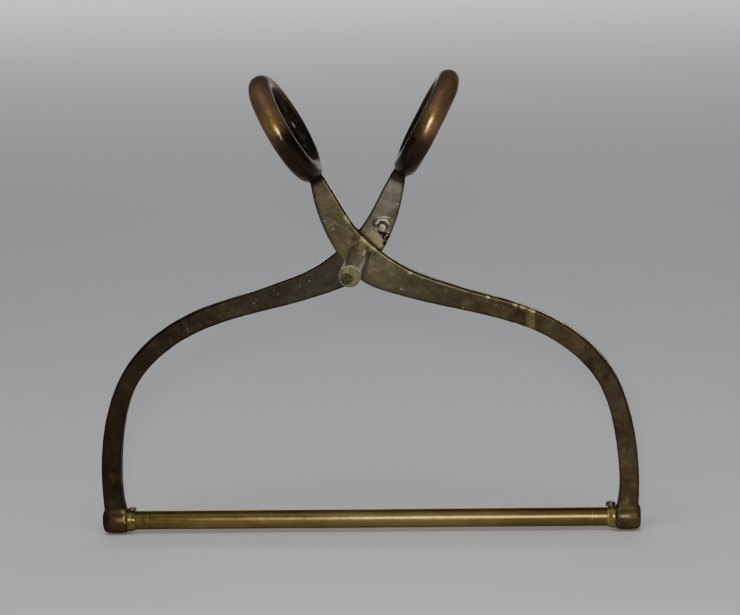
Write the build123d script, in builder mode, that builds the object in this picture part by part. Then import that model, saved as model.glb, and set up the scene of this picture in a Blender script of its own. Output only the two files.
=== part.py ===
from build123d import *

import math
import os

# Ring-handled brass lifting tongs that hold a cross bar between the bosses of their jaws.
#
# Frame: the origin is on the pivot axis, at the post's shoulder, where the plain post starts. +X
# runs to the right along the cross bar, +Y to the back, +Z up. Units are millimetres.
# Everything is drawn about the lap plane between the two arms and moved to the frame at export.
# The front arm runs from the upper left ring to the lower right boss, in front of the lap plane.
# The rear arm is the same casting turned half a turn about Z, so its crossing lies behind it.

os.makedirs("parts", exist_ok=True)

# ---- Driving dimensions ----
arm_thickness = 6.0  # at the crossing and the handle
shank_thickness = 9.0  # at the jaw end, centred on the lap plane
lap_gap = 0.05  # from the lap plane to each arm's rubbing face
arm_edge_round = 1.2
shank_start_z = -18.0  # the lapped stretch ends here
shank_end_z = -75.0  # the shank has its full thickness from here down

bar_drop = 157.0  # pivot axis down to the cross bar's axis
bar_diameter = 10.8
tube_bore = 7.4
boss_inner_x = 141.4
boss_outer_x = 154.3  # where the dome starts
boss_dome = 1.3
boss_waist_radius = 7.5
boss_end_radius = 6.9
boss_mouth_chamfer = 0.5

ring_top = 114.3  # pivot axis to the top of either ring, along its handle
ring_lean = 28.8  # degrees from vertical
front_ring_radius = 26.9  # to the middle of the ring's round section
rear_ring_radius = 26.0  # forged a little smaller
rear_ring_twist = 2.3  # degrees about its handle, as it was brazed on slightly askew
ring_section_radius = 6.4
ring_eye_depth = 6.2  # the finger side is dressed this far out to a narrow cylindrical land
tenon_diameter = 5.0
tenon_start = 37.3  # along the handle, inside the arm
tenon_end = 54.1  # inside the ring
tenon_hole_start = 41.3

post_diameter = 11.9
post_reach = 64.5  # in front of the front arm's face
post_end_round = 1.6
post_tail_diameter = 7.6
post_head_diameter = 12.6
post_head_height = 2.4
post_head_round = 1.9
washer_diameter = 15.0
washer_thickness = 1.0
washer_chamfer = 0.2

stop_x = 13.1
stop_z = 14.0
stop_diameter = 4.6
stop_reach = 4.6
stop_chamfer = 0.4
braze_radius = 4.2  # the raised bead of braze around the stop pin's upper side
braze_bead = 0.9
braze_start = 15.0  # degrees from +X, seen from the front
braze_end = 165.0

collar_length = 5.0
collar_mouth_radius = 5.75  # beside the ferrule, from where it flares
collar_end_radius = 6.5  # beside the boss
collar_rim = 1.0  # straight stretch at the boss end
ferrule_length = 8.6  # plug showing between the tube's end and the collar
spigot_length = 14.0
screw_diameter = 2.5
screw_shift = 0.3  # from the collar's middle, away from the boss
right_screw_head_diameter = 5.6
right_screw_head_height = 2.4
right_screw_head_round = 1.1
left_screw_head_diameter = 4.9
left_screw_head_height = 0.9  # filed low
left_screw_head_round = 0.5
screw_slot_width = 0.7
screw_slot_depth = 0.5
screw_slot_turn = 35.0  # degrees from the bar's line
nose_radius = 4.5
seat_angle = 44.0  # half angle of the ball seat, shallow enough for the jaw to swing clear

running_gap = 0.05  # radial clearance where parts turn
fixed_gap = 0.01  # radial clearance where parts are held fast
face_gap = 0.1  # between the boss and the collar

# ---- Derived sizes ----
half_shank = shank_thickness / 2
arm_mid = arm_thickness / 2
bar_radius = bar_diameter / 2
lean = math.radians(ring_lean)
handle_line = Vector(-math.sin(lean), 0, math.cos(lean))  # up the front arm's handle
ring_axis = Vector(math.cos(lean), 0, math.sin(lean))
handle_foot = Vector(0, -arm_mid, 0)  # where the front handle's line crosses the pivot
handle_plane = Plane(origin=handle_foot, x_dir=(0, 1, 0), z_dir=handle_line)
rear_handle = Axis((0, arm_mid, 0), (math.sin(lean), 0, math.cos(lean)))
seat_rim_radius = nose_radius * math.sin(math.radians(seat_angle))
nose_centre_x = boss_inner_x - nose_radius * math.cos(math.radians(seat_angle))
collar_outer_x = boss_inner_x - face_gap
collar_inner_x = collar_outer_x - collar_length
tube_end_x = collar_inner_x - ferrule_length

# The side profile that the arm is cut to reaches past it all round.
blank_top_z = 60.0
blank_bottom_z = -180.0
blank_half_width = 200.0
shortest_long_edge = 40.0  # the four edges along the arm are longer than this, all others shorter

# The front arm's two long edges as (x, z), seen from the front, from the ring down to the boss.
upper_edge = [
    (-21.4, 48.0), (-10.8, 30.0), (-1.0, 13.9), (12.7, 0.6), (27.8, -9.6), (44.8, -16.6),
    (67.0, -23.8), (89.1, -30.6), (111.1, -41.2), (128.1, -54.2), (139.6, -68.6),
    (148.1, -88.0), (153.1, -110.0), (154.7, -130.0), (154.3, -152.0),
]
lower_edge = [
    (-26.8, 45.2), (-23.3, 25.6), (-13.3, 1.4), (0.6, -15.7), (17.1, -23.0), (39.1, -29.4),
    (61.0, -34.5), (83.0, -40.6), (105.0, -50.3), (122.0, -63.6), (133.0, -78.4),
    (140.0, -99.0), (143.1, -122.0), (143.7, -136.0), (141.9, -151.5),
]


def half_turn(solid):
    """The front side's shape turned half a turn about Z, which puts it on the rear side."""
    return solid.rotate(Axis.Z, 180)


# ---- Ring handles, both drawn on the front side ----
def ring_body(radius, section_radius):
    """A plain round ring whose top lies at ring_top along the front handle."""
    centre = handle_foot + handle_line * (ring_top - radius - ring_section_radius)
    with BuildPart() as body:
        with BuildSketch(Plane(origin=centre, x_dir=(0, 1, 0), z_dir=handle_line)):
            with Locations((radius, 0)):
                Circle(section_radius)
        revolve(axis=Axis(centre, ring_axis))
    return body.part


def ring_handle(radius):
    """The ring with its dressed eye and the hole for the arm's tenon."""
    centre = handle_foot + handle_line * (ring_top - radius - ring_section_radius)
    plain_ring = ring_body(radius, ring_section_radius)
    with BuildPart() as ring:
        add(plain_ring)
        with BuildSketch(Plane(origin=centre, x_dir=(0, 1, 0), z_dir=ring_axis)):
            Circle(radius - ring_eye_depth)
        extrude(amount=ring_section_radius, both=True, mode=Mode.SUBTRACT)
        with BuildSketch(handle_plane.offset(tenon_hole_start)):
            Circle(tenon_diameter / 2 + fixed_gap)
        extrude(amount=tenon_end + fixed_gap - tenon_hole_start, mode=Mode.SUBTRACT)
    return ring.part


def to_rear_ring(solid):
    """Turned half a turn, then twisted about the rear handle."""
    return half_turn(solid).rotate(rear_handle, rear_ring_twist)


front_ring_shape = ring_handle(front_ring_radius)
with BuildPart() as front_ring:
    add(front_ring_shape)
front_ring.part.label = "front_ring"

rear_ring_shape = to_rear_ring(ring_handle(rear_ring_radius))
with BuildPart() as rear_ring:
    add(rear_ring_shape)
rear_ring.part.label = "rear_ring"

# The rings' bare bodies, a little oversize, to hollow the arms' ends into saddles for them.
front_saddle = ring_body(front_ring_radius, ring_section_radius + fixed_gap)
rear_saddle = to_rear_ring(ring_body(rear_ring_radius, ring_section_radius + fixed_gap))

# ---- Arm casting, front side ----
with BuildPart() as arm_casting:
    with BuildSketch(Plane.XZ):
        with BuildLine():
            upper_line = Spline(*upper_edge)
            lower_line = Spline(*lower_edge)
            Line(upper_line @ 0, lower_line @ 0)
            Line(upper_line @ 1, lower_line @ 1)
        make_face()
    extrude(amount=2 * arm_thickness, both=True)
    # Seen from the side: flat where the arms lap, then set in line with the bar lower down.
    with BuildSketch(Plane.YZ):
        with BuildLine():
            down = [(0, -1), (0, -1)]
            front_line = Spline((-arm_thickness, shank_start_z), (-half_shank, shank_end_z), tangents=down)
            back_line = Spline((-lap_gap, shank_start_z), (half_shank, shank_end_z), tangents=down)
            Polyline(front_line @ 0, (-arm_thickness, blank_top_z), (-lap_gap, blank_top_z), back_line @ 0)
            bottom_corners = [(-half_shank, blank_bottom_z), (half_shank, blank_bottom_z)]
            Polyline(front_line @ 1, *bottom_corners, back_line @ 1)
        make_face()
    extrude(amount=blank_half_width, both=True, mode=Mode.INTERSECT)
    long_edges = arm_casting.edges().filter_by(lambda edge: edge.length > shortest_long_edge)
    fillet(long_edges, arm_edge_round)
    # Jaw boss: a barrel around the bar's axis with a domed outer end.
    with BuildSketch(Plane.XZ):
        with BuildLine():
            mouth = (boss_inner_x, -bar_drop + boss_end_radius - boss_mouth_chamfer)
            barrel_start = (boss_inner_x + boss_mouth_chamfer, -bar_drop + boss_end_radius)
            barrel_mid = ((boss_inner_x + boss_outer_x) / 2, -bar_drop + boss_waist_radius)
            barrel_end = (boss_outer_x, -bar_drop + boss_end_radius)
            dome_tip = (boss_outer_x + boss_dome, -bar_drop)
            Line(mouth, barrel_start)
            ThreePointArc(barrel_start, barrel_mid, barrel_end)
            Spline(barrel_end, dome_tip, tangents=[(1, -0.4), (0, -1)])
            Polyline(dome_tip, (boss_inner_x, -bar_drop), mouth)
        make_face()
    revolve(axis=Axis((0, 0, -bar_drop), (1, 0, 0)))
    with BuildSketch(Plane.XZ):
        Circle(post_tail_diameter / 2 + running_gap)
    extrude(amount=arm_thickness, both=True, mode=Mode.SUBTRACT)
    with BuildSketch(Plane.XZ):
        with BuildLine():
            seat_radius = nose_radius + running_gap
            seat_bottom = (nose_centre_x + seat_radius, -bar_drop)
            seat_top = (nose_centre_x, -bar_drop + seat_radius)
            seat_back = (nose_centre_x - seat_radius, -bar_drop)
            ThreePointArc(seat_bottom, seat_top, seat_back)
            Line(seat_back, seat_bottom)
        make_face()
    revolve(axis=Axis((0, 0, -bar_drop), (1, 0, 0)), mode=Mode.SUBTRACT)

with BuildPart() as tenon:
    with BuildSketch(handle_plane.offset(tenon_start)):
        Circle(tenon_diameter / 2)
    extrude(amount=tenon_end - tenon_start)

with BuildPart() as front_arm:
    add(arm_casting.part)
    add(front_saddle, mode=Mode.SUBTRACT)
    add(tenon.part)
front_arm.part.label = "front_arm"

# ---- Rear arm: the same casting, with the stop pin's hole and its bead of braze ----
with BuildPart() as rear_arm:
    add(half_turn(arm_casting.part))
    add(rear_saddle, mode=Mode.SUBTRACT)
    add(half_turn(tenon.part))
    bead_turn = math.radians(braze_start)
    bead_out = Vector(math.cos(bead_turn), 0, math.sin(bead_turn))
    bead_start = Plane(
        origin=Vector(stop_x, lap_gap, stop_z) + bead_out * braze_radius,
        x_dir=bead_out,
        z_dir=(math.sin(bead_turn), 0, -math.cos(bead_turn)),
    )
    with BuildSketch(bead_start):
        Circle(braze_bead)
    revolve(axis=Axis((stop_x, 0, stop_z), (0, -1, 0)), revolution_arc=braze_end - braze_start)
    with BuildSketch(Plane.XZ):
        with Locations((stop_x, stop_z)):
            Circle(stop_diameter / 2 + fixed_gap)
    extrude(amount=2 * arm_thickness, both=True, mode=Mode.SUBTRACT)
rear_arm.part.label = "rear_arm"

# ---- Pivot: a shouldered post through both arms, peened over a washer at the back ----
rear_face_y = arm_thickness
shoulder_y = -arm_thickness - running_gap
with BuildPart() as pivot_post:
    with BuildSketch(Plane.XZ.offset(-shoulder_y)):
        Circle(post_diameter / 2)
    extrude(amount=post_reach)
    fillet(pivot_post.edges().group_by(Axis.Y)[0], post_end_round)
    with BuildSketch(Plane.XZ.offset(-shoulder_y)):
        Circle(post_tail_diameter / 2)
    extrude(amount=-(rear_face_y + washer_thickness - shoulder_y))
    head_y = rear_face_y + washer_thickness
    with BuildSketch(Plane.XZ.offset(-head_y)):
        Circle(post_head_diameter / 2)
    extrude(amount=-post_head_height)
    fillet(pivot_post.edges().group_by(Axis.Y)[-1], post_head_round)
pivot_post.part.label = "pivot_post"

with BuildPart() as pivot_washer:
    with BuildSketch(Plane.XZ.offset(-rear_face_y)):
        Circle(washer_diameter / 2)
        Circle(post_tail_diameter / 2 + fixed_gap, mode=Mode.SUBTRACT)
    extrude(amount=-washer_thickness)
    chamfer(pivot_washer.edges().group_by(Axis.Y)[-1].sort_by(SortBy.LENGTH)[-1], washer_chamfer)
pivot_washer.part.label = "pivot_washer"

with BuildPart() as stop_pin:
    with BuildSketch(Plane.XZ.offset(stop_reach)):
        with Locations((stop_x, stop_z)):
            Circle(stop_diameter / 2)
    extrude(amount=-(stop_reach + rear_face_y))
    chamfer(stop_pin.edges().group_by(Axis.Y)[0], stop_chamfer)
stop_pin.part.label = "stop_pin"

# ---- Cross bar: a tube with a ball-nosed plug, a collar and a set screw at each end ----
bar_axis = Axis((0, 0, -bar_drop), (1, 0, 0))
bar_section = Plane(origin=(0, 0, -bar_drop), x_dir=(0, 1, 0), z_dir=(1, 0, 0))
with BuildPart() as crossbar:
    with BuildSketch(bar_section):
        Circle(bar_radius)
        Circle(tube_bore / 2, mode=Mode.SUBTRACT)
    extrude(amount=tube_end_x, both=True)
crossbar.part.label = "crossbar"

with BuildPart() as right_plug:
    with BuildSketch(bar_section.offset(tube_end_x)):
        Circle(bar_radius)
    extrude(amount=collar_outer_x - tube_end_x)
    with BuildSketch(bar_section.offset(tube_end_x)):
        Circle(tube_bore / 2 - fixed_gap)
    extrude(amount=-spigot_length)
    with BuildSketch(Plane.XZ):
        with BuildLine():
            nose_root_radius = math.sqrt(nose_radius**2 - (collar_outer_x - nose_centre_x) ** 2)
            nose_top = (collar_outer_x, -bar_drop + nose_root_radius)
            nose_tip = (nose_centre_x + nose_radius, -bar_drop)
            RadiusArc(nose_top, nose_tip, nose_radius)
            Polyline(nose_tip, (collar_outer_x, -bar_drop), nose_top)
        make_face()
    revolve(axis=bar_axis)
right_plug.part.label = "right_plug"

collar_mid_x = (collar_inner_x + collar_outer_x) / 2
screw_foot = (collar_mid_x - screw_shift, 0, -bar_drop + bar_radius)
screw_seat = Plane(origin=screw_foot, x_dir=(1, 0, 0), z_dir=(0, 0, 1))
with BuildPart() as right_collar:
    with BuildSketch(Plane.XZ):
        with BuildLine():
            hole_z = -bar_drop + bar_radius + fixed_gap
            flare_start = (collar_inner_x, -bar_drop + collar_mouth_radius)
            flare_end = (collar_outer_x - collar_rim, -bar_drop + collar_end_radius)
            flare = Spline(flare_start, flare_end, tangents=[(1, 0), (1, 0)])
            rim = Line(flare @ 1, (collar_outer_x, -bar_drop + collar_end_radius))
            Polyline(rim @ 1, (collar_outer_x, hole_z), (collar_inner_x, hole_z), flare @ 0)
        make_face()
    revolve(axis=bar_axis)
    with BuildSketch(screw_seat):
        Circle(screw_diameter / 2 + fixed_gap)
    extrude(amount=collar_end_radius, mode=Mode.SUBTRACT)
right_collar.part.label = "right_collar"

screw_rise = collar_end_radius - bar_radius


def set_screw(head_diameter, head_height, head_round):
    """A slotted screw through the right collar, its head standing on the collar's rim."""
    with BuildPart() as screw:
        with BuildSketch(screw_seat.offset(fixed_gap)):
            Circle(screw_diameter / 2)
        extrude(amount=screw_rise)
        with BuildSketch(screw_seat.offset(screw_rise + fixed_gap)):
            Circle(head_diameter / 2)
        extrude(amount=head_height)
        fillet(screw.edges().group_by(Axis.Z)[-1], head_round)
        with BuildSketch(screw_seat.offset(screw_rise + fixed_gap + head_height)):
            Rectangle(2 * head_diameter, screw_slot_width, rotation=screw_slot_turn)
        extrude(amount=-screw_slot_depth, mode=Mode.SUBTRACT)
    return screw.part


right_screw_shape = set_screw(right_screw_head_diameter, right_screw_head_height, right_screw_head_round)
with BuildPart() as right_set_screw:
    add(right_screw_shape)
right_set_screw.part.label = "right_set_screw"

with BuildPart() as left_plug:
    add(half_turn(right_plug.part))
left_plug.part.label = "left_plug"

with BuildPart() as left_collar:
    add(half_turn(right_collar.part))
left_collar.part.label = "left_collar"

low_screw = set_screw(left_screw_head_diameter, left_screw_head_height, left_screw_head_round)
left_screw_shape = half_turn(low_screw)
with BuildPart() as left_set_screw:
    add(left_screw_shape)
left_set_screw.part.label = "left_set_screw"

# ---- Export ----
pieces = [
    front_arm, rear_arm, front_ring, rear_ring, pivot_post, pivot_washer, stop_pin,
    crossbar, left_plug, right_plug, left_collar, right_collar, left_set_screw, right_set_screw,
]
lap_plane_y = arm_thickness + running_gap  # the lap plane lies this far behind the post's shoulder
for piece in pieces:
    placed = piece.part.translate((0, lap_plane_y, 0))
    placed.label = piece.part.label
    export_step(placed, f"parts/{placed.label}.step")
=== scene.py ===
"""Looks for the ring-handled bar tongs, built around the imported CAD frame. Metres throughout."""
import math

import bpy
import bmesh
import numpy as np
from mathutils import Matrix, Vector, noise


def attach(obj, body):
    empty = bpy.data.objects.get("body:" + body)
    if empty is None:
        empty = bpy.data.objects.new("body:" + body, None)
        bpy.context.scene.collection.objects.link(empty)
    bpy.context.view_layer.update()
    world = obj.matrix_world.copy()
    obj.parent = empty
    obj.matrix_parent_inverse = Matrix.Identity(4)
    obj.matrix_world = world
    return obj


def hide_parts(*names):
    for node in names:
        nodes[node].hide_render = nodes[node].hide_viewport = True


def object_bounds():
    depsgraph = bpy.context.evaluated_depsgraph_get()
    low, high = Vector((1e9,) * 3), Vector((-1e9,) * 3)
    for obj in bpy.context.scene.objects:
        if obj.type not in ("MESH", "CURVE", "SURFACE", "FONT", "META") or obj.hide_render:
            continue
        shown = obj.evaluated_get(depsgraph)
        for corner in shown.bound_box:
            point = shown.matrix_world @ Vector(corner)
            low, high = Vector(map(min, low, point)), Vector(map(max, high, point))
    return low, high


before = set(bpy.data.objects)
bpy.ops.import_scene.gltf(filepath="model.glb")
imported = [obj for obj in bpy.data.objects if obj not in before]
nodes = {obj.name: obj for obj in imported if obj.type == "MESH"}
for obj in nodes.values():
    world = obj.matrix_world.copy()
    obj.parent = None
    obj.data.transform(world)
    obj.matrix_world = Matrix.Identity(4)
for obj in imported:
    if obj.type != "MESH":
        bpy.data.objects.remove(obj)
cad_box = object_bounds()
MM = 0.001


# ---------------------------------------------------------------- node helpers
class Shader:
    """A small wrapper that makes node trees readable."""

    def __init__(self, name):
        self.mat = bpy.data.materials.new(name)
        self.mat.use_nodes = True
        self.tree = self.mat.node_tree
        self.tree.nodes.clear()
        self.out = self.tree.nodes.new("ShaderNodeOutputMaterial")
        self.bsdf = self.tree.nodes.new("ShaderNodeBsdfPrincipled")
        self.tree.links.new(self.bsdf.outputs[0], self.out.inputs[0])
        self.coord = self.tree.nodes.new("ShaderNodeTexCoord").outputs["Object"]

    def put(self, value, socket):
        if isinstance(value, bpy.types.NodeSocket):
            self.tree.links.new(value, socket)
        elif hasattr(value, "__len__") and len(value) == 3 and socket.type == "RGBA":
            socket.default_value = (*value, 1)
        else:
            socket.default_value = value

    def noise(self, scale, detail=4, rough=0.6, distort=0.0, vector=None, seed=0.0):
        n = self.tree.nodes.new("ShaderNodeTexNoise")
        n.noise_dimensions = "4D"
        n.inputs["W"].default_value = seed
        n.inputs["Scale"].default_value = scale
        n.inputs["Detail"].default_value = detail
        n.inputs["Roughness"].default_value = rough
        n.inputs["Distortion"].default_value = distort
        self.put(vector or self.coord, n.inputs["Vector"])
        return n.outputs["Fac"]

    def cells(self, scale, vector=None):
        """Distance to the nearest of many scattered points."""
        n = self.tree.nodes.new("ShaderNodeTexVoronoi")
        n.inputs["Scale"].default_value = scale
        self.put(vector or self.coord, n.inputs["Vector"])
        return n.outputs["Distance"]

    def stretch(self, scale, rotation=(0, 0, 0)):
        n = self.tree.nodes.new("ShaderNodeMapping")
        n.inputs["Scale"].default_value = scale
        n.inputs["Rotation"].default_value = rotation
        self.put(self.coord, n.inputs["Vector"])
        return n.outputs[0]

    def ramp(self, fac, stops):
        """Colours or greys, eased between their places along a 0 to 1 value."""
        n = self.tree.nodes.new("ShaderNodeValToRGB")
        n.color_ramp.interpolation = "EASE"
        elements = n.color_ramp.elements
        while len(elements) < len(stops):
            elements.new(0.5)
        for element, (place, tone) in zip(elements, stops):
            element.position = place
            element.color = (*tone, 1) if hasattr(tone, "__len__") else (tone, tone, tone, 1)
        self.put(fac, n.inputs[0])
        return n.outputs[0]

    def tones(self, fac, colours, spread):
        """Three colours, dark to light, with the middle one at 0.5."""
        dark, mid, light = colours
        return self.ramp(fac, [(0.5 - spread, dark), (0.5, mid), (0.5 + spread, light)])

    def math(self, op, a, b=0.0, clamp=False):
        n = self.tree.nodes.new("ShaderNodeMath")
        n.operation = op
        n.use_clamp = clamp
        for value, socket in zip((a, b), n.inputs):
            self.put(value, socket)
        return n.outputs[0]

    def plus(self, a, b, clamp=False):
        return self.math("ADD", a, b, clamp)

    def minus(self, a, b):
        return self.math("SUBTRACT", a, b)

    def times(self, a, b):
        return self.math("MULTIPLY", a, b)

    def swing(self, value, amount):
        """A 0 to 1 noise as one around zero, amount wide."""
        return self.times(self.minus(value, 0.5), amount)

    def around(self, value, centre, near, far):
        """1 within near of a centre value, fading to 0 at far."""
        return self.band(self.math("ABSOLUTE", self.minus(value, centre)), near, far)

    def vector_math(self, op, a, b=(0, 0, 0), output="Vector"):
        n = self.tree.nodes.new("ShaderNodeVectorMath")
        n.operation = op
        self.put(a, n.inputs[0])
        self.put(b, n.inputs[1])
        return n.outputs[output]

    def from_origin(self):
        """Distance from the frame's origin, on the pivot's axis."""
        return self.vector_math("LENGTH", self.coord, output="Value")

    def along(self, direction):
        """Distance from the origin, measured along a direction."""
        return self.vector_math("DOT_PRODUCT", self.coord, direction, "Value")

    def mix(self, fac, a, b):
        n = self.tree.nodes.new("ShaderNodeMix")
        n.data_type = "RGBA"
        self.put(fac, n.inputs[0])
        self.put(a, n.inputs[6])
        self.put(b, n.inputs[7])
        return n.outputs[2]

    def xyz(self):
        n = self.tree.nodes.new("ShaderNodeSeparateXYZ")
        self.put(self.coord, n.inputs[0])
        return n.outputs

    def normal(self):
        """The surface normal in the frame's axes."""
        n = self.tree.nodes.new("ShaderNodeSeparateXYZ")
        self.put(self.tree.nodes.new("ShaderNodeTexCoord").outputs["Normal"], n.inputs[0])
        return n.outputs

    def pointiness(self):
        """Below 0.5 in corners, above it on edges."""
        return self.tree.nodes.new("ShaderNodeNewGeometry").outputs["Pointiness"]

    def near(self, centre, radius, fade, vector=None):
        """1 inside radius of a point, fading to 0 over fade."""
        away = self.vector_math("DISTANCE", vector or self.coord, centre, "Value")
        return self.band(away, radius, radius + fade)

    def band(self, value, lo, hi):
        """1 at lo, 0 at hi, clamped."""
        n = self.tree.nodes.new("ShaderNodeMapRange")
        n.interpolation_type = "SMOOTHSTEP"
        self.put(value, n.inputs["Value"])
        n.inputs["From Min"].default_value = lo
        n.inputs["From Max"].default_value = hi
        n.inputs["To Min"].default_value = 1
        n.inputs["To Max"].default_value = 0
        return n.outputs[0]

    def bump(self, height, strength, distance):
        n = self.tree.nodes.new("ShaderNodeBump")
        n.inputs["Strength"].default_value = strength
        n.inputs["Distance"].default_value = distance
        self.put(height, n.inputs["Height"])
        return n.outputs[0]


def set_material(obj, mat):
    obj.data.materials.clear()
    obj.data.materials.append(mat)


# ---------------------------------------------------------------- places in the frame
PIVOT_Y = 6.05 * MM  # the plane between the two lapped arms
BAR_Z = -157.0 * MM
BAR_RADIUS = 5.4 * MM
TUBE_END = 127.7 * MM
NOSE_START = 141.2 * MM
POST_END = -64.5 * MM
RING_REACH = {"front": 81.0 * MM, "rear": 81.9 * MM}
RING_RADIUS = {"front": 26.9 * MM, "rear": 26.0 * MM}
RING_SECTION = 6.4 * MM  # radius of the ring's round section
RING_LEAN = math.radians(28.8)
RING_UP = {
    "front": Vector((-math.sin(RING_LEAN), 0, math.cos(RING_LEAN))),
    "rear": Vector((math.sin(RING_LEAN), 0, math.cos(RING_LEAN))),
}
ARM_MID_Y = {"front": 3.0 * MM, "rear": 9.1 * MM}
STOP = Vector((13.1 * MM, 6.1 * MM, 14.0 * MM))  # the stop pin on the rear arm's front face
POST_MIDDLE = (-1.6 * MM, POST_END, -1.1 * MM)  # the hollow in the post's end

# Noise layers as (wavelength, depth).
CAST = [(22 * MM, 0.22 * MM), (7 * MM, 0.12 * MM), (2.2 * MM, 0.05 * MM)]
POLISHED = [(14 * MM, 0.2 * MM), (4 * MM, 0.05 * MM)]
TURNED = [(6 * MM, 0.05 * MM), (1.5 * MM, 0.025 * MM)]
DRAWN = [(18 * MM, 0.08 * MM), (3 * MM, 0.03 * MM)]
SMALL = [(1.5 * MM, 0.03 * MM)]
BRAZE = [(2.3 * MM, 0.35 * MM)]

# Braze: a lumpy round bead laid along a line.
BEAD_SIDES = 10
BEAD_UNEVENNESS = 0.4
BEAD_LUMP = 1.6 * MM
RING_BEAD = 0.75 * MM
RING_BEAD_STEPS = 64
ARM_END_HALF_WIDTH = 3.6 * MM
ARM_END_HALF_DEPTH = 3.0 * MM
ARM_END_SQUARENESS = 0.6  # 1 is an ellipse, less is squarer
STOP_BEAD_STEPS = 24
# Beads around the stop pin: radius and thickness in millimetres, from and to in degrees.
STOP_BEADS = [(3.1, 0.75, 15, 150), (4.9, 0.5, 25, 80), (5.0, 0.45, 110, 145)]
NOSE_EASE = 0.2 * MM  # play left around the hidden ball nose


# ---------------------------------------------------------------- worn meshes made from the frame
def read(mesh, what="co"):
    """The mesh's points, or its normals, one in each row."""
    rows = np.zeros(len(mesh.vertices) * 3, np.float64)
    mesh.vertices.foreach_get(what, rows)
    return rows.reshape(-1, 3)


def write(mesh, co):
    mesh.vertices.foreach_set("co", co.astype(np.float32).ravel())
    mesh.update()


def apply_modifiers(obj):
    depsgraph = bpy.context.evaluated_depsgraph_get()
    mesh = bpy.data.meshes.new_from_object(obj.evaluated_get(depsgraph))
    obj.modifiers.clear()
    obj.data = mesh


def smooth(obj, rounds, where=None):
    """Relaxes the surface, all over or only where the mask is 1."""
    mod = obj.modifiers.new("relax", "SMOOTH")
    mod.factor = 0.5
    mod.iterations = rounds
    if where is not None:
        group = obj.vertex_groups.new(name="where")
        for i in np.nonzero(where > 0.01)[0]:
            group.add([int(i)], float(where[i]), "REPLACE")
        mod.vertex_group = "where"
    apply_modifiers(obj)
    obj.vertex_groups.clear()


def grain(co, wavelength, seed):
    """Smooth seeded noise from about -1 to 1 at each point."""
    f = 1 / wavelength
    shift = Vector((seed * 3.7, seed * 1.3, seed * 7.1))
    return np.array([noise.noise(Vector(p) * f + shift) for p in co])


def ripple(obj, layers, seed, box, mask):
    """Moves the surface in and out by layers of noise, never past the box."""
    co, no = read(obj.data), read(obj.data, "normal")
    shift = np.zeros(len(co))
    for k, (wavelength, depth) in enumerate(layers):
        shift += depth * grain(co, wavelength, seed + k)
    shift *= mask(co)
    write(obj.data, np.clip(co + no * shift[:, None], *box))


def pits(obj, count, radius, depth, seed):
    """Small round dings at seeded places on the surface."""
    co, no = read(obj.data), read(obj.data, "normal")
    rng = np.random.default_rng(seed)
    moved = np.zeros(len(co))
    for i in rng.choice(len(co), count, replace=False):
        r = radius * rng.uniform(0.5, 1.3)
        d = np.linalg.norm(co - co[i], axis=1) / r
        moved = np.maximum(moved, depth * rng.uniform(0.4, 1.0) * np.clip(1 - d * d, 0, 1) ** 2)
    write(obj.data, co - no * moved[:, None])


def ring_centre(side):
    return RING_UP[side] * RING_REACH[side] + Vector((0, ARM_MID_Y[side], 0))


def lumpy_tube(bm, line, thickness, closed, seed):
    """A tube of uneven thickness along a line of points."""
    middle = sum(line, Vector()) / len(line)
    circles = []
    for k, p in enumerate(line):
        last, following = line[k - 1], line[(k + 1) % len(line)]
        if not closed and k == 0:
            last = p
        if not closed and k == len(line) - 1:
            following = p
        tangent = (following - last).normalized()
        out = (p - middle).cross(tangent).cross(tangent).normalized()
        side_way = tangent.cross(out)
        r = thickness * (1 + BEAD_UNEVENNESS * noise.noise(p / BEAD_LUMP + Vector((seed, 0, 0))))
        circle = []
        for j in range(BEAD_SIDES):
            turn = 2 * math.pi * j / BEAD_SIDES
            circle.append(bm.verts.new(p + (out * math.cos(turn) + side_way * math.sin(turn)) * r))
        circles.append(circle)
    for here, there in zip(circles, circles[1:] + circles[:1] if closed else circles[1:]):
        for j in range(BEAD_SIDES):
            k = (j + 1) % BEAD_SIDES
            bm.faces.new((here[j], here[k], there[k], there[j]))
    if not closed:
        bm.faces.new(circles[0])
        bm.faces.new(circles[-1])
    bmesh.ops.recalc_face_normals(bm, faces=bm.faces)


def braze_bead(bm, side, seed):
    """A lumpy fillet of braze around the arm's end, lying against the ring's outside."""
    up = RING_UP[side]
    axle = Vector((up.z, 0, -up.x))
    centre = ring_centre(side)
    loop = []
    for k in range(RING_BEAD_STEPS):
        turn = 2 * math.pi * k / RING_BEAD_STEPS
        a = math.copysign(abs(math.cos(turn)) ** ARM_END_SQUARENESS, math.cos(turn)) * ARM_END_HALF_WIDTH
        b = math.copysign(abs(math.sin(turn)) ** ARM_END_SQUARENESS, math.sin(turn)) * ARM_END_HALF_DEPTH
        reach = math.sqrt((RING_RADIUS[side] + math.sqrt(RING_SECTION**2 - a * a)) ** 2 - b * b)
        loop.append(centre - up * reach + axle * a + Vector((0, b, 0)))
    lumpy_tube(bm, loop, RING_BEAD, True, seed)


def stop_braze(bm, seed):
    """Braze that fills the corner between the stop pin and its raised bead."""
    for radius, thickness, start, end in STOP_BEADS:
        line = []
        for k in range(STOP_BEAD_STEPS + 1):
            turn = math.radians(start + (end - start) * k / STOP_BEAD_STEPS)
            line.append(STOP + Vector((math.cos(turn), 0, math.sin(turn))) * radius * MM)
        lumpy_tube(bm, line, thickness * MM, False, seed + radius)


def off_the_lap(points):
    """0 on the arms' rubbing faces, 1 a little away from them."""
    return np.clip((np.abs(points[:, 1] - PIVOT_Y) - 0.12 * MM) / (0.3 * MM), 0, 1)


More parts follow.
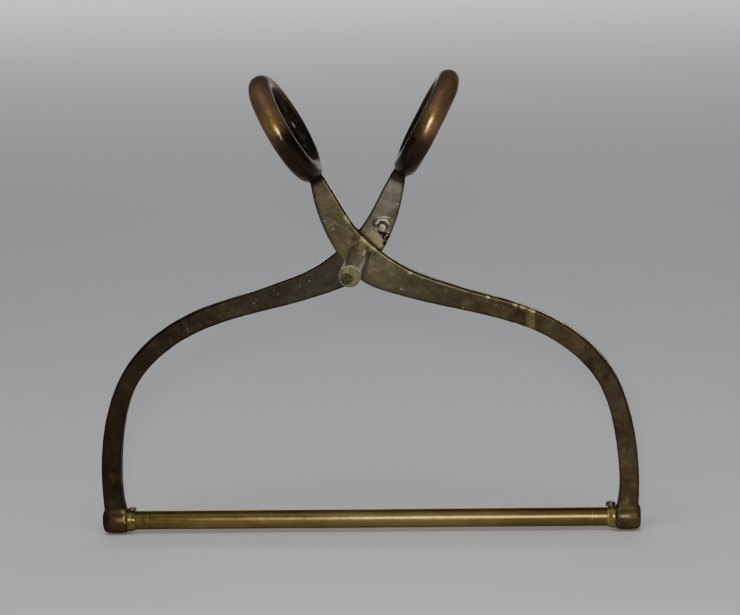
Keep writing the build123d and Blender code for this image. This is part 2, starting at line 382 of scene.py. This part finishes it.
def around_the_stop(points):
    """1 on the braze above the stop pin, 0 elsewhere."""
    off = np.hypot(points[:, 0] - STOP.x, points[:, 2] - STOP.z)
    above = np.clip((points[:, 2] - STOP.z - 0.8 * MM) / (1.0 * MM), 0, 1)
    return (points[:, 1] < STOP.y + 0.05 * MM) * np.clip((6.0 * MM - off) / (1.0 * MM), 0, 1) * above


def worn(node, body, voxel, rounds, layers, seed, brazed=None):
    """An even, slightly softened copy of a CAD node that replaces it."""
    obj = bpy.data.objects.new(node + "_worn", nodes[node].data.copy())
    bpy.context.scene.collection.objects.link(obj)
    if brazed:
        bm = bmesh.new()
        bm.from_mesh(obj.data)
        braze_bead(bm, brazed, seed)
        if brazed == "rear":
            stop_braze(bm, seed)
        bm.to_mesh(obj.data)
        bm.free()
    mod = obj.modifiers.new("even", "REMESH")
    mod.mode = "VOXEL"
    mod.voxel_size = voxel
    mod.adaptivity = 0
    apply_modifiers(obj)
    smooth(obj, rounds)
    cad = read(nodes[node].data)
    box = (cad.min(0), cad.max(0))
    ripple(obj, layers, seed, box, off_the_lap)
    obj.data.shade_smooth()
    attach(obj, body)
    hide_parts(node)
    pieces.append(obj)
    return obj


# ---------------------------------------------------------------- materials
BARE = (0.5, 0.43, 0.19)
BLACK = (0.005, 0.004, 0.003)
WARM_TINT = (0.5, 0.45, 0.38)  # of every metal's reflections


def patches(s, colour, patch_colour, places, breakup):
    """Ragged patches of another tone, each (x, y, z, radius, fade, strength), lengths in millimetres."""
    for x, y, z, radius, fade, strength in places:
        spot = s.near((x * MM, y * MM, z * MM), radius * MM, fade * MM)
        ragged = s.plus(spot, s.swing(breakup, 3.0))
        amount = s.times(s.band(ragged, 1.3, 0.1), s.band(spot, 0.7, 0.0))
        colour = s.mix(s.times(amount, strength), colour, patch_colour)
    return colour


def finish_metal(s, colour, metallic, rough, height, strength, distance):
    s.put(colour, s.bsdf.inputs["Base Color"])
    s.put(metallic, s.bsdf.inputs["Metallic"])
    s.put(rough, s.bsdf.inputs["Roughness"])
    s.put(WARM_TINT, s.bsdf.inputs["Specular Tint"])
    s.put(s.bump(height, strength, distance), s.bsdf.inputs["Normal"])
    return s.mat


FACE = {"front": 0.0, "rear": 6.1}  # y of each arm's front face, in millimetres
OLIVE = {
    "front": [(0.066, 0.06, 0.036), (0.082, 0.074, 0.046), (0.108, 0.096, 0.058)],
    "rear": [(0.039, 0.035, 0.026), (0.053, 0.048, 0.036), (0.072, 0.065, 0.048)],
}
BROWN = {
    "front": [(0.04, 0.027, 0.014), (0.066, 0.048, 0.026), (0.1, 0.075, 0.038)],
    "rear": [(0.019, 0.013, 0.008), (0.029, 0.02, 0.012), (0.044, 0.031, 0.019)],
}
PALE_HANDLE = [(0.105, 0.09, 0.068), (0.138, 0.12, 0.093), (0.178, 0.158, 0.128)]
FILM = {"front": 0.27, "rear": 0.2}
REDDISH = {"front": (0.075, 0.05, 0.032), "rear": (0.045, 0.03, 0.02)}
GREENISH = {"front": (0.07, 0.075, 0.035), "rear": (0.03, 0.03, 0.017)}
RING_SHADOW_EDGE = {"front": (46.8 * MM, 43.8 * MM), "rear": (46.4 * MM, 42.8 * MM)}
STRIPE_X = 95.0 * MM

# Pale specks on the arms' front faces, each (x, z, radius, strength), lengths in millimetres.
SPECKS = {
    "front": [
        (57.2, -32.2, 0.3, 0.8), (22.9, -20.8, 0.3, 0.6), (34.7, -14.9, 0.25, 0.5), (-19.1, 19.1, 0.2, 0.45),
        (75.7, -31, 0.3, 0.5), (-14.6, 17.2, 0.2, 0.4), (16.5, -2.6, 0.25, 0.4), (48, -22, 0.2, 0.4),
    ],
    "rear": [
        (-61.6, -28.6, 0.5, 0.4), (-41.1, -29, 0.4, 0.35), (-35, -19.5, 0.2, 0.35), (-29.3, -16.3, 0.25, 0.4),
        (-47.7, -23.6, 0.2, 0.3), (-60.2, -26.4, 0.3, 0.25), (-97, -48, 0.2, 0.3), (-120, -62, 0.3, 0.3),
    ],
}
# Painted glints on the dark run below the stop pin, each (x, z, radius, strength), lengths in millimetres.
PAINTED_GLINTS = [(15.3, 9.0, 0.25, 1.0), (14.2, 7.9, 0.12, 1.0), (14.9, 5.0, 0.2, 1.0), (15.9, 10.6, 0.1, 1.0)]


def patina(s, side, tone, broad, seed):
    """Olive grey near the crossing and brown down the shank, under a darker film."""
    if side == "front":
        near_pivot = s.band(s.from_origin(), 0.022, 0.088)
    else:
        near_pivot = s.band(s.times(s.xyz()[0], -1.0), 0.02, 0.1)
    olive = s.tones(tone, OLIVE[side], 0.1)
    if side == "rear":
        olive = s.mix(s.band(s.xyz()[0], 0.008, -0.006), olive, s.tones(tone, PALE_HANDLE, 0.1))
    wobble = s.times(s.swing(broad, 1.2), near_pivot)
    colour = s.mix(s.plus(near_pivot, wobble, clamp=True), s.tones(tone, BROWN[side], 0.1), olive)
    # The film covers everything but the crossing and the lower shank.
    far = s.band(s.times(s.from_origin(), -1.0), -0.032, -0.012)
    film = s.times(far, s.band(s.from_origin(), 0.15, 0.175))
    colour = s.mix(s.times(film, FILM[side]), colour, (0.014, 0.012, 0.009))
    # Reddish and greenish drifts in the patina.
    red = s.ramp(s.noise(70, 3, 0.5, 0.6, seed=seed + 5), [(0.5, 0.0), (0.66, 1.0)])
    colour = s.mix(s.times(red, 0.45), colour, REDDISH[side])
    green = s.ramp(s.noise(95, 3, 0.5, 0.6, seed=seed + 6), [(0.53, 0.0), (0.66, 1.0)])
    return s.mix(s.times(green, 0.35), colour, GREENISH[side])


def front_wear(s, colour, mottle):
    """Rubbed and warmer places on the front arm, and a pale stripe across its shoulder."""
    rubbed = [
        (-6.9, 0, 20.4, 0.8, 2.2, 0.42), (-6.0, 0, 18.6, 0.7, 2.0, 0.36), (3.5, 0, 8.0, 1.4, 4.5, 0.36),
        (7.5, 0, 3.5, 1.0, 3.5, 0.25), (-4.5, 0, 7.0, 1.0, 3.5, 0.16),
        (91.0, 0, -31.8, 0.9, 2.2, 0.55), (86.5, 0, -30.6, 0.8, 1.8, 0.5), (96, 0, -33.8, 1.0, 2.2, 0.6),
        (71.5, 0, -25.6, 0.4, 1.6, 0.5), (113, 0, -42.3, 0.6, 2.0, 0.4), (28, 0, -11.5, 0.4, 2.2, 0.3),
        (147, 0, -146, 1.0, 4.0, 0.2), (152.5, 0, -137, 0.6, 2.4, 0.25),
    ]
    warm = [
        (133.0, 0, -70, 1.5, 7.0, 0.22), (142.5, 0, -98, 1.5, 8.0, 0.2), (146, 0, -120, 2.0, 9.0, 0.3),
        (78, 0, -35, 3.0, 6.0, 0.3), (120, 0, -56, 2.0, 7.0, 0.2), (104, 0, -45, 1.5, 5.0, 0.25),
        (60, 0, -31, 2.0, 5.0, 0.25), (-8, 0, 2, 5.0, 9.0, 0.3), (4, 0, 9, 3.0, 8.0, 0.45),
        (12, 0, -8, 4.0, 9.0, 0.3), (-17, 0, 30, 3.0, 8.0, 0.2), (147.5, 0, -157, 7.0, 6.0, 0.5),
    ]
    colour = patches(s, colour, (0.15, 0.115, 0.055), warm, mottle)
    colour = patches(s, colour, BARE, rubbed, mottle)
    # The stripe runs straight across the shoulder, ragged at its sides.
    across = s.math("ABSOLUTE", s.minus(s.xyz()[0], STRIPE_X))
    across = s.plus(across, s.swing(mottle, 0.006))
    stripe = s.times(s.band(across, 0.0013, 0.0031), s.ramp(mottle, [(0.36, 0.35), (0.58, 1.0)]))
    return s.mix(s.times(stripe, 0.6), colour, (0.24, 0.2, 0.085))


def rear_wear(s, colour, mottle, fine):
    """A pale handle, warmer lower shank and rubbed places on the rear arm."""
    rubbed = [
        (9.6, 6, 6.4, 1.6, 3.8, 0.5), (6.5, 6, 9.5, 1.0, 3.4, 0.35), (11.6, 6, 3.2, 0.9, 2.4, 0.5),
        (-142.0, 0.2, -153.3, 0.7, 1.5, 0.9), (-142.2, 2.0, -151.2, 0.8, 1.6, 0.9),
        (-141.6, -0.7, -156.0, 0.5, 1.2, 0.8), (-143.4, 1.2, -150.0, 0.5, 1.8, 0.5),
    ]
    pale = [(20.6, 6, 36.0, 2.5, 4.5, 0.6), (24, 6, 31, 1.2, 4.0, 0.45), (17, 6, 26, 1.5, 4.0, 0.4)]
    warm = [
        (-146, 6, -130, 2.0, 7.0, 0.5), (-150, 6, -146, 2.0, 6.0, 0.5), (-146, 6, -157, 7.5, 4.0, 0.5),
        (-143, 6, -118, 1.0, 5.0, 0.3),
    ]
    colour = patches(s, colour, (0.16, 0.15, 0.12), pale, mottle)
    colour = patches(s, colour, (0.13, 0.085, 0.03), warm, mottle)
    gold = s.ramp(fine, [(0.35, (0.2, 0.17, 0.07)), (0.65, (0.46, 0.4, 0.2))])
    return patches(s, colour, gold, rubbed, mottle)


def specks(s, colour, tone, places, side, fade, share):
    """Small round spots on an arm's front face, used for pale specks and for painted glints."""
    for x, z, radius, strength in places:
        spot = s.near((x * MM, FACE[side] * MM, z * MM), radius * MM, fade)
        colour = s.mix(s.times(spot, share * strength), colour, tone)
    return colour


def scattered_dust(s, colour, seed):
    """Fine pale dust and dark pinholes scattered over the casting."""
    sparse = s.ramp(s.noise(60, 1, 0.5, seed=seed + 4), [(0.5, 0.0), (0.62, 1.0)])
    flecks = s.times(s.band(s.cells(210), 0.05, 0.13), sparse)
    colour = s.mix(s.times(flecks, 0.3), colour, (0.26, 0.23, 0.14))
    turned = s.stretch((1.1, 1.2, 0.9), (0.5, 1, 2))
    pinholes = s.times(s.band(s.cells(260, turned), 0.06, 0.16), 0.3)
    return s.mix(pinholes, colour, (0.02, 0.016, 0.01))


def edge_wear_and_dark_corners(s, colour, side, mottle):
    """Thin wear on the edges and darkening to near black in the corners, less of it around the stop pin, and
    pale braze with a painted highlight on the beads there.
    """
    edge = s.pointiness()
    rub = s.times(s.ramp(edge, [(0.54, 0.0), (0.64, 1.0)]), s.ramp(mottle, [(0.5, 0.0), (0.62, 1.0)]))
    colour = s.mix(s.times(rub, 0.25), colour, (0.2, 0.17, 0.085))
    corner_dark = s.times(s.ramp(edge, [(0.4, 1.0), (0.475, 0.0)]), 0.9)
    if side == "rear":
        near_stop_pin = s.near((13.6 * MM, 5 * MM, 16.0 * MM), 4.4 * MM, 1.8 * MM)
        corner_dark = s.times(corner_dark, s.minus(1.0, s.times(near_stop_pin, 0.85)))
        # The braze beads by the stop pin are pale braze, lightened further as a painted highlight.
        bead = s.times(s.band(s.xyz()[1], 0.0057, 0.0061), near_stop_pin)
        colour = s.mix(s.times(bead, 0.85), colour, (0.34, 0.31, 0.25))
    return s.mix(corner_dark, colour, BLACK)


def dark_run_shadow_and_glints(s, colour, mottle):
    """A dark run below the stop pin, partly dark braze drips and grease, partly the pin's painted shadow,
    with a few painted glints.
    """
    run = s.near((12.2 * MM, PIVOT_Y, 11.2 * MM), 1.0 * MM, 1.6 * MM)
    run = s.math("MAXIMUM", run, s.near((14.6 * MM, PIVOT_Y, 8.6 * MM), 1.5 * MM, 1.6 * MM))
    run = s.math("MAXIMUM", run, s.near((14.6 * MM, PIVOT_Y, 4.4 * MM), 0.9 * MM, 1.6 * MM))
    run = s.plus(run, s.swing(mottle, 1.2), clamp=True)
    colour = s.mix(s.times(s.band(run, 0.7, 0.35), 0.95), colour, (0.011, 0.006, 0.0035))
    return specks(s, colour, (0.7, 0.66, 0.58), PAINTED_GLINTS, "rear", 0.3 * MM, 1.0)


def arm_material(name, side, seed):
    """Dark patinated casting with its wear, dust, darkened corners and a painted shadow under the ring."""
    s = Shader(name)
    broad = s.noise(34, 3, 0.5, 0.5, seed=seed)
    mottle = s.noise(210, 5, 0.62, 0.8, seed=seed + 1)
    fine = s.noise(1300, 3, 0.6, seed=seed + 2)
    tone = s.plus(s.times(broad, 0.42), s.times(mottle, 0.38))
    tone = s.plus(tone, s.times(fine, 0.2))
    colour = patina(s, side, tone, broad, seed)
    colour = front_wear(s, colour, mottle) if side == "front" else rear_wear(s, colour, mottle, fine)
    colour = specks(s, colour, (0.3, 0.27, 0.17), SPECKS[side], side, 0.6 * MM, 0.8)
    colour = scattered_dust(s, colour, seed)
    colour = edge_wear_and_dark_corners(s, colour, side, mottle)
    # Painted shadow of the ring, cast on the arm just below where the ring handle is brazed on.
    neck = s.plus(s.along(RING_UP[side]), s.swing(mottle, 0.004))
    colour = s.mix(s.times(s.band(neck, *RING_SHADOW_EDGE[side]), 0.9), colour, (0.011, 0.006, 0.004))
    if side == "rear":
        colour = dark_run_shadow_and_glints(s, colour, mottle)
    rough = s.plus(s.times(mottle, 0.34), 0.2)
    shoulder = s.around(s.xyz()[2], BAR_Z + 7 * MM, 2 * MM, 5 * MM)
    rough = s.plus(rough, s.times(shoulder, 0.22))
    height = s.plus(s.times(fine, 0.35), s.times(mottle, 0.65))
    return finish_metal(s, colour, 0.82, rough, height, 0.3, 0.00025)


RING_BROWN = [(0.105, 0.059, 0.033), (0.15, 0.085, 0.047), (0.2, 0.12, 0.065)]
RING_GOLD = [(0.24, 0.135, 0.035), (0.4, 0.245, 0.065), (0.6, 0.41, 0.13)]
EYE_GRIME = [(0.009, 0.0085, 0.006), (0.02, 0.019, 0.011), (0.1, 0.09, 0.045)]
RUBBED_HEIGHT = 95.5 * MM  # middle of the rubbed gold, measured along the handle's line


def ring_material(name, side, seed):
    """Hand-polished red-brown bronze: gold where hands rub, kept to the front-facing middle as a painted
    highlight, and a painted near-black reflection towards the handle.
    """
    s = Shader(name)
    handle = RING_UP[side]
    axle = Vector((handle.z, 0, -handle.x))
    broad = s.noise(60, 3, 0.5, 0.4, seed=seed)
    fine = s.noise(420, 4, 0.6, seed=seed + 1)
    height_up = s.along(handle)
    height_up = s.plus(height_up, s.swing(broad, 0.016))
    brown = s.tones(broad, RING_BROWN, 0.14)
    gold = s.ramp(fine, [(0.34, RING_GOLD[0]), (0.52, RING_GOLD[1]), (0.68, RING_GOLD[2])])
    black = s.ramp(broad, [(0.4, (0.014, 0.007, 0.004)), (0.62, (0.03, 0.016, 0.009))])
    # The rubbed gold runs along the middle of the tube, on the side that faces the front, so it is rubbed
    # metal and partly a painted highlight.
    highlight_facing = s.times(s.normal()[1], -1.0)
    highlight_facing = s.plus(highlight_facing, s.swing(fine, 0.12))
    middle = s.band(highlight_facing, 0.97, 0.8)
    zone = s.around(height_up, RUBBED_HEIGHT, 0.003, 0.016)
    rubbed = s.times(s.times(zone, middle), s.ramp(fine, [(0.38, 0.6), (0.56, 1.0)]))
    # Painted dark reflection: the ring turns near black towards the handle.
    colour = s.mix(s.band(height_up, 0.074, 0.09), brown, black)
    colour = s.mix(s.times(rubbed, 0.8), colour, gold)
    # The finger side keeps its old black-green grime.
    out = s.vector_math("SUBTRACT", s.coord, ring_centre(side))
    radial = s.vector_math("LENGTH", s.vector_math("CROSS_PRODUCT", out, axle), output="Value")
    inner = s.plus(radial, s.swing(fine, 0.003))
    inner = s.band(inner, RING_RADIUS[side] - 4.7 * MM, RING_RADIUS[side] - 2.3 * MM)
    eye = s.ramp(fine, [(0.45, EYE_GRIME[0]), (0.58, EYE_GRIME[1]), (0.7, EYE_GRIME[2])])
    colour = s.mix(s.times(inner, 0.95), colour, eye)
    corner_dark = s.ramp(s.pointiness(), [(0.42, 1.0), (0.48, 0.0)])
    colour = s.mix(s.times(corner_dark, 0.7), colour, BLACK)
    rough = s.ramp(broad, [(0.3, 0.21), (0.7, 0.31)])
    height = s.plus(fine, s.times(broad, 2.0))
    metallic = s.plus(s.times(rubbed, 0.45), 0.52, clamp=True)
    return finish_metal(s, colour, metallic, rough, height, 0.12, 0.0003)


def ease_nose(obj):
    """Shrinks the hidden ball nose a little, so that it turns freely in its seat."""
    co, no = read(obj.data), read(obj.data, "normal")
    hidden = np.clip((np.abs(co[:, 0]) - NOSE_START) / NOSE_EASE, 0, 1)
    write(obj.data, co - no * (NOSE_EASE * hidden)[:, None])


def flush(obj):
    """Brings the tube and its plugs back to one diameter beside the seam between them."""
    co = read(obj.data)
    out = co - (0, PIVOT_Y, BAR_Z)
    out[:, 0] = 0
    radius = np.linalg.norm(out, axis=1)
    at_seam = (np.abs(np.abs(co[:, 0]) - TUBE_END) < 1.4 * MM) & (radius > 4.7 * MM)
    co[at_seam] += out[at_seam] * (0.995 * BAR_RADIUS / radius[at_seam] - 1)[:, None]
    write(obj.data, co)


BAR_BROWN = [(0.1, 0.068, 0.02), (0.19, 0.137, 0.046), (0.3, 0.23, 0.088)]


def bar_material(name, seed):
    """Drawn brass bar: lengthwise polish lines, brown tarnish, a middle lightened as a painted highlight."""
    s = Shader(name)
    lines = s.noise(1, 5, 0.65, vector=s.stretch((14, 900, 900)), seed=seed)
    clouds = s.noise(40, 4, 0.55, 0.5, vector=s.stretch((0.6, 1, 1)), seed=seed + 1)
    fine = s.noise(500, 3, 0.6, seed=seed + 2)
    blend = s.plus(s.times(clouds, 0.6), s.times(lines, 0.4))
    colour = s.tones(blend, BAR_BROWN, 0.14)
    # Painted highlight: the middle of the bar is lightened.
    bright = s.around(s.xyz()[0], 0.005, 0.0, 0.085)
    colour = s.mix(s.times(bright, 0.4), colour, (0.36, 0.29, 0.135))
    red = s.ramp(s.noise(26, 2, 0.5, seed=seed + 3), [(0.5, 0.0), (0.66, 1.0)])
    colour = s.mix(s.times(red, 0.35), colour, (0.15, 0.08, 0.028))
    green = s.ramp(s.noise(33, 3, 0.6, seed=seed + 7), [(0.52, 0.0), (0.66, 1.0)])
    colour = s.mix(s.times(green, 0.4), colour, (0.13, 0.135, 0.045))
    right = s.band(s.times(s.xyz()[0], -1.0), -0.1, -0.045)
    colour = s.mix(s.times(right, 0.4), colour, (0.11, 0.08, 0.028))
    # Greenish and brown tarnish at the left end, a bright rubbed line at the tube's right end.
    mottle = s.noise(260, 4, 0.6, 0.6, seed=seed + 9)
    left = s.times(s.band(s.xyz()[0], -0.134, -0.112), s.ramp(mottle, [(0.42, 0.0), (0.6, 1.0)]))
    colour = s.mix(s.times(left, 0.6), colour, (0.13, 0.125, 0.032))
    rust = s.times(s.band(s.xyz()[0], -0.132, -0.1), s.ramp(mottle, [(0.4, 1.0), (0.52, 0.0)]))
    colour = s.mix(s.times(rust, 0.6), colour, (0.1, 0.055, 0.018))
    seam = s.around(s.xyz()[0], TUBE_END, 0.0003, 0.0008)
    seam = s.times(seam, s.ramp(mottle, [(0.4, 0.3), (0.55, 1.0)]))
    colour = s.mix(s.times(seam, 0.4), colour, (0.42, 0.35, 0.2))
    rough = s.ramp(blend, [(0.3, 0.26), (0.7, 0.4)])
    height = s.plus(s.times(lines, 0.7), s.times(fine, 0.3))
    return finish_metal(s, colour, 0.94, rough, height, 0.3, 0.00015)


def turned_material(name, colours, seed, axis="Y"):
    """Tarnished turned brass with faint rings from the lathe."""
    s = Shader(name)
    ring_scale = {"X": (2600, 60, 60), "Y": (60, 2600, 60)}[axis]
    rings = s.noise(1, 2, 0.5, vector=s.stretch(ring_scale), seed=seed)
    clouds = s.noise(210, 4, 0.6, 0.4, seed=seed + 1)
    blend = s.plus(s.times(clouds, 0.8), s.times(rings, 0.2))
    colour = s.tones(blend, colours, 0.14)
    edge = s.pointiness()
    rubbed = s.times(s.ramp(edge, [(0.53, 0.0), (0.62, 1.0)]), 0.6)
    colour = s.mix(rubbed, colour, (0.55, 0.47, 0.27))
    corner_dark = s.times(s.ramp(edge, [(0.42, 1.0), (0.48, 0.0)]), 0.8)
    colour = s.mix(corner_dark, colour, (0.01, 0.008, 0.005))
    rough = s.ramp(clouds, [(0.3, 0.24), (0.7, 0.44)])
    return finish_metal(s, colour, 0.72, rough, s.plus(clouds, rings), 0.25, 0.0002)


POST_BROWN = [(0.085, 0.062, 0.043), (0.15, 0.12, 0.088), (0.25, 0.215, 0.16)]


def post_material(name, seed):
    """Long plain post: brown sides streaked lengthwise, an olive painted reflection on the right side, a
    painted highlight streak, and a bright rounded end with a painted highlight crescent and a dark rough
    middle.
    """
    s = Shader(name)
    streaks = s.noise(1, 4, 0.6, vector=s.stretch((420, 22, 420)), seed=seed)
    clouds = s.noise(170, 4, 0.6, 0.4, seed=seed + 1)
    fine = s.noise(1100, 3, 0.6, seed=seed + 2)
    blend = s.plus(s.times(streaks, 0.6), s.times(clouds, 0.4))
    body = s.tones(blend, POST_BROWN, 0.1)
    # Painted reflection: the post's right side is tinted olive green, as if reflecting the arm.
    green = s.band(s.times(s.xyz()[0], -1.0), -0.0048, -0.0018)
    colour = s.mix(s.times(green, 0.55), body, (0.12, 0.115, 0.06))
    # A short painted highlight on the upper right of the post.
    painted_highlight = s.near((4.3 * MM, -1.8 * MM, 4.1 * MM), 0.5 * MM, 0.75 * MM, s.stretch((1, 0.1, 1)))
    colour = s.mix(painted_highlight, colour, (0.8, 0.75, 0.66))
    ragged = s.plus(s.xyz()[1], s.swing(clouds, 0.004))
    bright = s.ramp(clouds, [(0.35, (0.21, 0.19, 0.095)), (0.65, (0.44, 0.4, 0.22))])
    colour = s.mix(s.band(ragged, POST_END + 4.2 * MM, POST_END + 5.6 * MM), colour, bright)
    # Painted highlight: a bright crescent on the up-facing side of the rounded end.
    up_facing = s.band(s.times(s.normal()[2], -1.0), -0.75, -0.3)
    crescent_highlight = s.times(up_facing, s.band(s.xyz()[1], POST_END + 2 * MM, POST_END + 3 * MM))
    colour = s.mix(s.times(crescent_highlight, 0.85), colour, (0.72, 0.69, 0.42))
    face = s.band(s.xyz()[1], POST_END + 0.25 * MM, POST_END + 0.7 * MM)
    dull = s.ramp(clouds, [(0.35, (0.075, 0.07, 0.036)), (0.65, (0.16, 0.15, 0.085))])
    colour = s.mix(s.times(face, 0.9), colour, dull)
    middle = s.near(POST_MIDDLE, 2.4 * MM, 1.3 * MM)
    middle = s.plus(middle, s.swing(clouds, 1.4))
    dark = s.ramp(fine, [(0.4, (0.026, 0.026, 0.012)), (0.6, (0.07, 0.068, 0.036))])
    colour = s.mix(s.band(middle, 0.7, 0.3), colour, dark)
    rough = s.plus(s.times(clouds, 0.3), s.times(face, 0.28))
    rough = s.plus(rough, 0.14)
    height = s.plus(s.times(streaks, 0.6), s.times(fine, 0.4))
    metallic = s.plus(s.times(face, 0.3), 0.4)
    return finish_metal(s, colour, metallic, rough, height, 0.25, 0.0002)


# ---------------------------------------------------------------- arms and rings
pieces = []
rings = []
for side, seed in (("front", 1), ("rear", 11)):
    arm = worn(side + "_arm", side, 0.45 * MM, 3, CAST, seed, brazed=side)
    # The shank flows into the boss a little above the bar.
    co = read(arm.data)
    neck = np.clip(1 - np.abs(co[:, 2] - BAR_Z - 8.0 * MM) / (4.0 * MM), 0, 1)
    smooth(arm, 10, np.clip(neck * 1.6, 0, 1))
    if side == "rear":
        ripple(arm, BRAZE, 74, (co.min(0), co.max(0)), around_the_stop)
    pits(arm, 90, 1.1 * MM, 0.16 * MM, seed)
    arm.data.shade_smooth()
    set_material(arm, arm_material(side + "_arm_patina", side, seed * 2.3))
    ring = worn(side + "_ring", side, 0.55 * MM, 4, POLISHED, seed + 4)
    pits(ring, 30, 1.2 * MM, 0.1 * MM, seed + 5)
    ring.data.shade_smooth()
    rings.append(ring)
    set_material(ring, ring_material(side + "_ring_patina", side, seed * 1.9))


# ---------------------------------------------------------------- pivot and stop
post = worn("pivot_post", "rear", 0.32 * MM, 3, TURNED, 21)
co, no = read(post.data), read(post.data, "normal")
off_middle = np.hypot(co[:, 0] - POST_MIDDLE[0], co[:, 2] - POST_MIDDLE[2])
punched = (co[:, 1] < POST_END + 0.5 * MM) * np.clip((3.3 * MM - off_middle) / (0.7 * MM), 0, 1)
hollow = 0.16 * MM * punched * (1 + 0.5 * grain(co, 1.9 * MM, 31) + 0.7 * grain(co, 0.8 * MM, 32))
write(post.data, co - no * hollow[:, None])
post.data.shade_smooth()
set_material(post, post_material("post_brass", 3))
washer = worn("pivot_washer", "rear", 0.25 * MM, 2, TURNED, 22)
washer_brass = [(0.1, 0.08, 0.045), (0.22, 0.185, 0.1), (0.38, 0.33, 0.18)]
set_material(washer, turned_material("washer_brass", washer_brass, 3))
pin = worn("stop_pin", "rear", 0.2 * MM, 3, TURNED, 23)
pin_brass = [(0.2, 0.17, 0.13), (0.36, 0.31, 0.24), (0.56, 0.5, 0.4)]
set_material(pin, turned_material("pin_brass", pin_brass, 5))

# ---------------------------------------------------------------- cross bar
bar_mat = bar_material("bar_brass_drawn", 7)
bar = worn("crossbar", "bar", 0.5 * MM, 2, DRAWN, 41)
pits(bar, 60, 0.9 * MM, 0.1 * MM, 42)
flush(bar)
bar.data.shade_smooth()
set_material(bar, bar_mat)
left_brass = [(0.08, 0.06, 0.018), (0.16, 0.135, 0.04), (0.27, 0.225, 0.075)]
right_brass = [(0.13, 0.1, 0.03), (0.25, 0.195, 0.062), (0.38, 0.31, 0.11)]
screw_brass = [(0.07, 0.054, 0.038), (0.14, 0.112, 0.08), (0.24, 0.2, 0.15)]
collar_mats = {
    "left": turned_material("left_collar_brass", left_brass, 12, "X"),
    "right": turned_material("right_collar_brass", right_brass, 13, "X"),
}
screw_mat = turned_material("screw_brass", screw_brass, 15)
for side, seed in (("left", 50), ("right", 60)):
    plug = worn(side + "_plug", "bar", 0.35 * MM, 2, TURNED, seed)
    flush(plug)
    ease_nose(plug)
    plug.data.shade_smooth()
    set_material(plug, bar_mat)
    collar = worn(side + "_collar", "bar", 0.26 * MM, 3, TURNED, seed + 1)
    set_material(collar, collar_mats[side])
    screw = worn(side + "_set_screw", "bar", 0.15 * MM, 2, SMALL, seed + 2)
    set_material(screw, screw_mat)

# ---------------------------------------------------------------- stage, light and camera
FLOOR_HALF = 8  # metres
bm = bmesh.new()
for x, y in ((-1, -1), (1, -1), (1, 1), (-1, 1)):
    bm.verts.new((x * FLOOR_HALF, y * FLOOR_HALF, cad_box[0].z))
bm.faces.new(bm.verts)
floor_mesh = bpy.data.meshes.new("floor")
bm.to_mesh(floor_mesh)
bm.free()
floor = bpy.data.objects.new("floor", floor_mesh)
bpy.context.scene.collection.objects.link(floor)
pale = Shader("pale_floor")
pale.put((0.6, 0.6, 0.615), pale.bsdf.inputs["Base Color"])
pale.put(0.8, pale.bsdf.inputs["Roughness"])
set_material(floor, pale.mat)


def area_light(name, place, target, size, power, colour=(1, 1, 1)):
    data = bpy.data.lights.new(name, "AREA")
    data.shape = "RECTANGLE"
    data.size, data.size_y = size
    data.energy = power
    data.color = colour
    obj = bpy.data.objects.new(name, data)
    bpy.context.scene.collection.objects.link(obj)
    obj.location = place
    obj.rotation_euler = (Vector(target) - Vector(place)).to_track_quat("-Z", "Y").to_euler()
    return obj


def light_only(light, *objs):
    """Lets a light reach only the given objects."""
    group = bpy.data.collections.new(light.name + "_reaches")
    for obj in objs:
        group.objects.link(obj)
    light.light_linking.receiver_collection = group


COOL = (0.97, 0.98, 1.0)
BEHIND = (0.1, 1.6, 0.05)
LOW_MIDDLE = (0, 0, -0.03)
REAR_SIZE = (1.2, 0.7)
area_light("key", (0.085, -1.25, 0.30), LOW_MIDDLE, (0.1, 0.08), 8, (1.0, 0.96, 0.88))
area_light("fill", (-0.2, -0.5, 1.4), (0, 0, -0.05), (1.6, 1.2), 3)
low_glint = area_light("low_glint", (0.1, -1.2, 0.03), (0, 0, 0.08), (0.07, 0.07), 3.5, (1.0, 0.98, 0.95))
light_only(low_glint, *rings)
# The rings and the post get less light from behind, so that their edges don't glare.
rear_fill = area_light("rear_fill", BEHIND, LOW_MIDDLE, REAR_SIZE, 12, COOL)
light_only(rear_fill, *(piece for piece in pieces if piece not in (*rings, post)))
rear_rim = area_light("rear_rim", BEHIND, LOW_MIDDLE, REAR_SIZE, 1.8, COOL)
light_only(rear_rim, *rings, post)
backdrop = area_light("backdrop", (0.0, 4.4, 1.7), (0, 4.2, -0.2), (6.0, 1.6), 120, COOL)
light_only(backdrop, floor)
near_floor = area_light("near_floor", (0.0, -0.5, 1.1), (0, -0.25, -0.2), (1.6, 0.4), 7.5, (1.0, 0.98, 0.96))
light_only(near_floor, floor)
world = bpy.data.worlds.new("studio")
bpy.context.scene.world = world
world.use_nodes = True
background = world.node_tree.nodes["Background"]
background.inputs["Color"].default_value = (0.85, 0.88, 0.95, 1)
background.inputs["Strength"].default_value = 0.16

CAMERA_PLACE = (0.1105, -1.2277, 0.2412)
CAMERA_YAW = 0.0858  # radians, turned towards -X
CAMERA_PITCH = -0.2174
CAMERA_ROLL = 0.0346
camera_data = bpy.data.cameras.new("camera")
camera_data.lens = 109.04
camera_data.sensor_width = 36
camera_data.clip_start = 0.05
camera = bpy.data.objects.new("camera", camera_data)
bpy.context.scene.collection.objects.link(camera)
camera.matrix_world = (
    Matrix.Translation(CAMERA_PLACE)
    @ Matrix.Rotation(CAMERA_YAW, 4, "Z")
    @ Matrix.Rotation(CAMERA_PITCH, 4, "X")
    @ Matrix.Rotation(CAMERA_ROLL, 4, "Y")
    @ Matrix.Rotation(math.pi / 2, 4, "X")
)
bpy.context.scene.camera = camera
